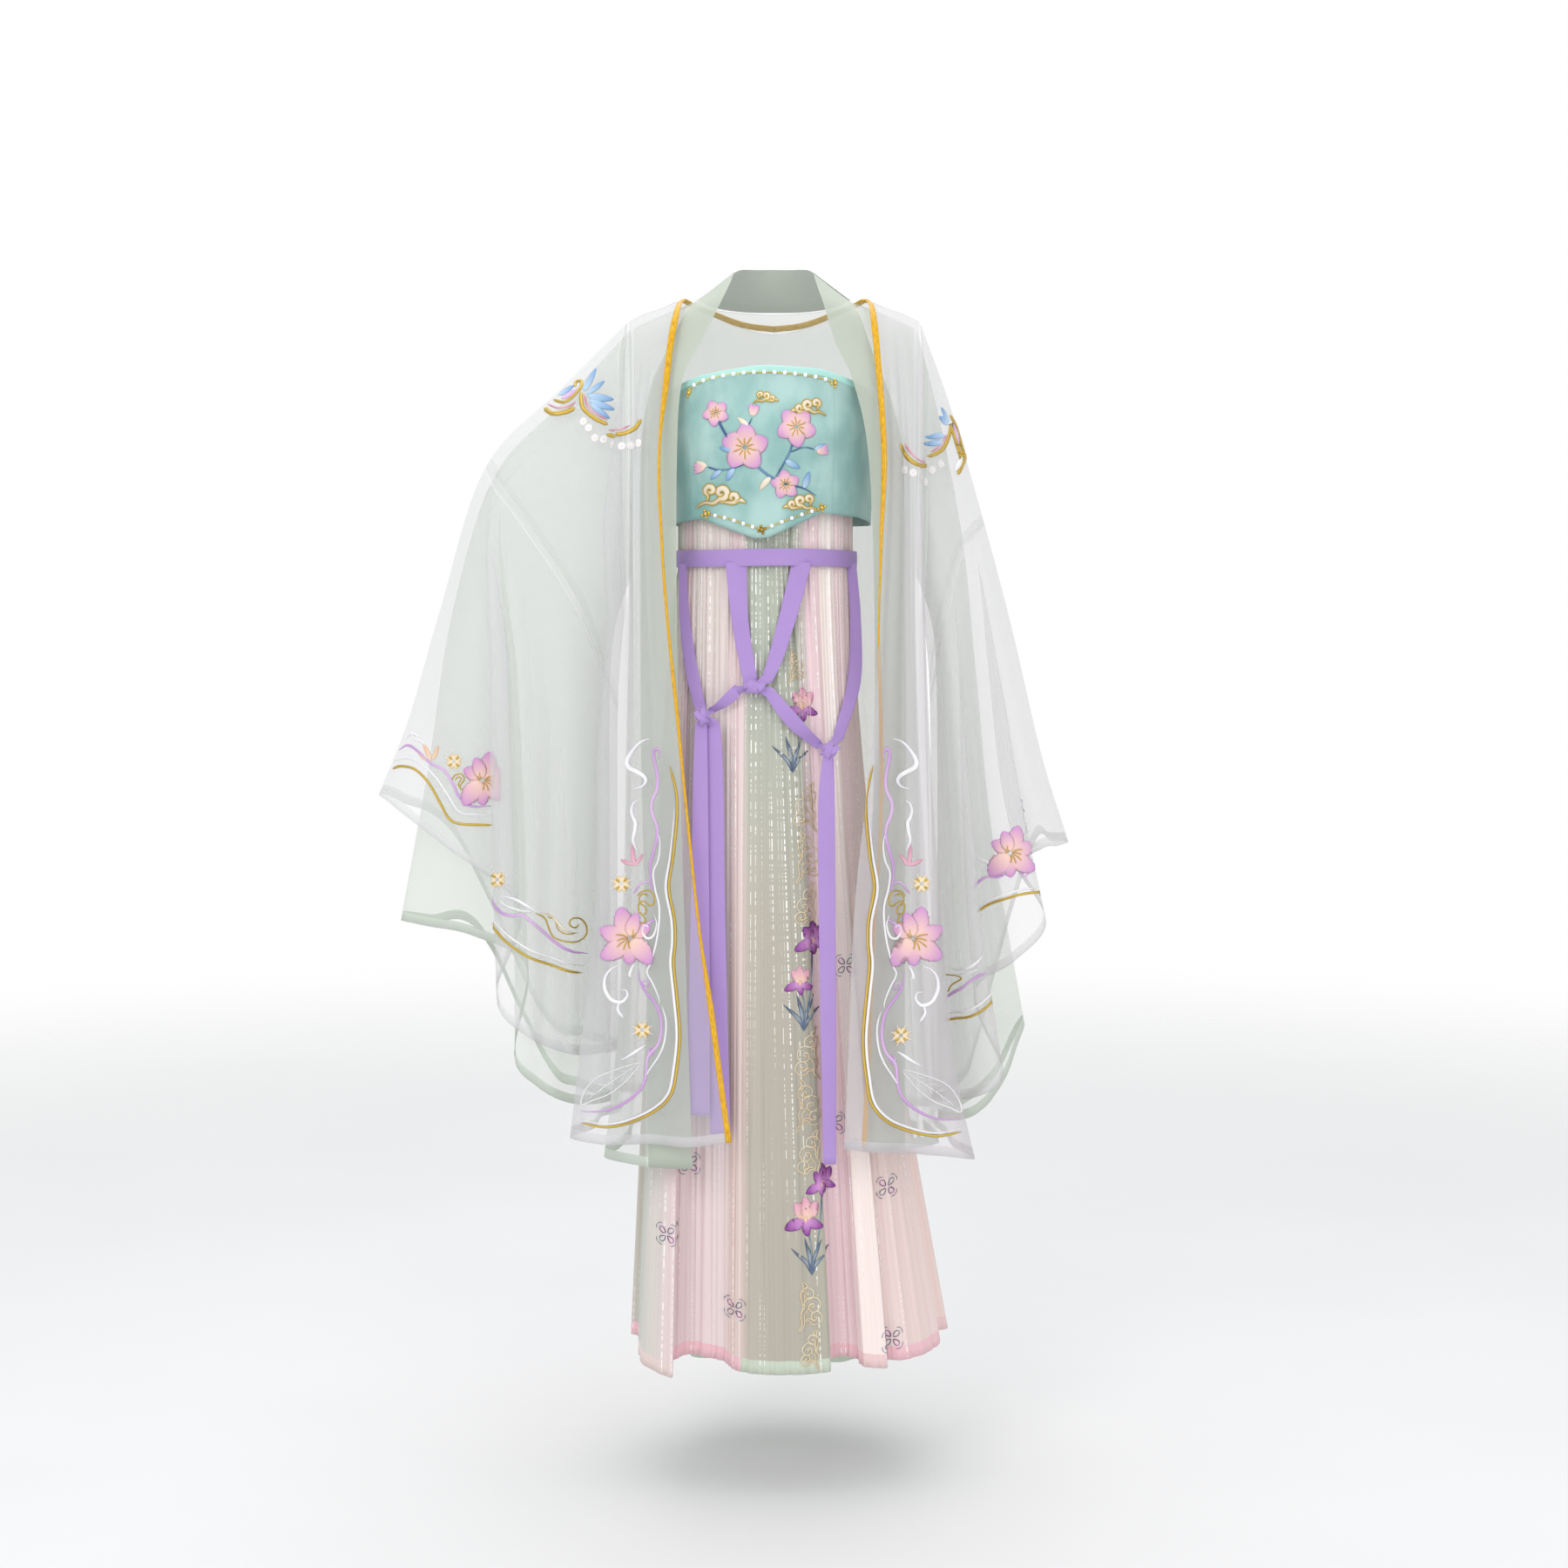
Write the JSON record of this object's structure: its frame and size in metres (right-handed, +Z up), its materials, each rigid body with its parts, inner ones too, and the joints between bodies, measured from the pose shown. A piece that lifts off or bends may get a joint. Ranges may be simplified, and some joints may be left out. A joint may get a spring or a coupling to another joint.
{
  "type": "hanfu robe set",
  "caption": "Wide-sleeved sheer robe over a sheer inner robe, strapless bodice and pleated high-waisted skirt, with gold-piped fronts and a knotted ribbon belt, as worn.",
  "frame": {"origin": "on the shoulder line, midway between the shoulders", "axes": "+Z up, -Y the way the wearer faces, +X the wearer's left"},
  "size_m": [0.898, 0.403, 1.4182],
  "materials": {
    "belt_band": "lilac satin ribbon",
    "bodice_back": "teal satin brocade with embroidery",
    "bodice_binding_back": "mint satin binding",
    "bodice_binding_front": "mint satin binding",
    "bodice_centre": "teal satin brocade with embroidery",
    "bodice_side_left": "teal satin brocade with embroidery",
    "bodice_side_right": "teal satin brocade with embroidery",
    "gold_piping_left": "golden orange satin piping",
    "gold_piping_right": "golden orange satin piping",
    "inner_back": "sheer pale green chiffon",
    "inner_band_left": "sheer pale green chiffon",
    "inner_band_nape": "sheer pale green chiffon",
    "inner_band_right": "sheer pale green chiffon",
    "inner_front_left": "sheer pale green chiffon",
    "inner_front_right": "sheer pale green chiffon",
    "inner_sleeve_left": "sheer pale green chiffon",
    "inner_sleeve_right": "sheer pale green chiffon",
    "knot_centre": "lilac satin ribbon",
    "knot_left": "lilac satin ribbon",
    "knot_right": "lilac satin ribbon",
    "outer_back": "sheer white chiffon with a crinkle and embroidered borders",
    "outer_front_left": "sheer white chiffon with a crinkle and embroidered borders",
    "outer_front_right": "sheer white chiffon with a crinkle and embroidered borders",
    "outer_sleeve_end_left": "sheer white chiffon with a crinkle and embroidered borders",
    "outer_sleeve_end_right": "sheer white chiffon with a crinkle and embroidered borders",
    "outer_upper_sleeve_left": "sheer white chiffon with a crinkle and embroidered borders",
    "outer_upper_sleeve_right": "sheer white chiffon with a crinkle and embroidered borders",
    "ribbon_left": "lilac satin ribbon",
    "ribbon_right_back": "lilac satin ribbon",
    "ribbon_right_front": "lilac satin ribbon",
    "skirt_cream_back": "cream crinkled pleats with lurex lines",
    "skirt_cream_left": "cream crinkled pleats with lurex lines",
    "skirt_pink_back": "pale pink crinkled pleats with lurex lines",
    "skirt_pink_front": "pale pink crinkled pleats with lurex lines",
    "skirt_pink_left": "pale pink crinkled pleats with lurex lines",
    "skirt_pink_right": "pale pink crinkled pleats with lurex lines",
    "skirt_sage_back": "grey-green crinkled pleats with lurex lines",
    "skirt_sage_front": "grey-green crinkled pleats with lurex lines",
    "skirt_sage_right": "grey-green crinkled pleats with lurex lines",
    "skirt_under_layer": "grey-green crinkled pleats with lurex lines",
    "skirt_waistband": "cream crinkled pleats with lurex lines",
    "strap_inner_left": "lilac satin ribbon",
    "strap_inner_right": "lilac satin ribbon",
    "strap_knot_left": "lilac satin ribbon",
    "strap_knot_right": "lilac satin ribbon",
    "strap_outer_left": "lilac satin ribbon",
    "strap_outer_right": "lilac satin ribbon"
  },
  "bodies": {
    "root": {"belt_band": "belt_band", "bodice_back": "bodice_back", "bodice_binding_back": "bodice_binding_back", "bodice_binding_front": "bodice_binding_front", "bodice_centre": "bodice_centre", "bodice_side_left": "bodice_side_left", "bodice_side_right": "bodice_side_right", "gold_piping_left": "gold_piping_left", "gold_piping_right": "gold_piping_right", "inner_back": "inner_back", "inner_band_left": "inner_band_left", "inner_band_nape": "inner_band_nape", "inner_band_right": "inner_band_right", "inner_front_left": "inner_front_left", "inner_front_right": "inner_front_right", "inner_sleeve_left": "inner_sleeve_left", "inner_sleeve_right": "inner_sleeve_right", "knot_centre": "knot_centre", "knot_left": "knot_left", "knot_right": "knot_right", "outer_back": "outer_back", "outer_front_left": "outer_front_left", "outer_front_right": "outer_front_right", "outer_sleeve_end_left": "outer_sleeve_end_left", "outer_sleeve_end_right": "outer_sleeve_end_right", "outer_upper_sleeve_left": "outer_upper_sleeve_left", "outer_upper_sleeve_right": "outer_upper_sleeve_right", "ribbon_left": "ribbon_left", "ribbon_right_back": "ribbon_right_back", "ribbon_right_front": "ribbon_right_front", "skirt_cream_back": "skirt_cream_back", "skirt_cream_left": "skirt_cream_left", "skirt_pink_back": "skirt_pink_back", "skirt_pink_front": "skirt_pink_front", "skirt_pink_left": "skirt_pink_left", "skirt_pink_right": "skirt_pink_right", "skirt_sage_back": "skirt_sage_back", "skirt_sage_front": "skirt_sage_front", "skirt_sage_right": "skirt_sage_right", "skirt_under_layer": "skirt_under_layer", "skirt_waistband": "skirt_waistband", "strap_inner_left": "strap_inner_left", "strap_inner_right": "strap_inner_right", "strap_knot_left": "strap_knot_left", "strap_knot_right": "strap_knot_right", "strap_outer_left": "strap_outer_left", "strap_outer_right": "strap_outer_right"}
  },
  "joints": []
}
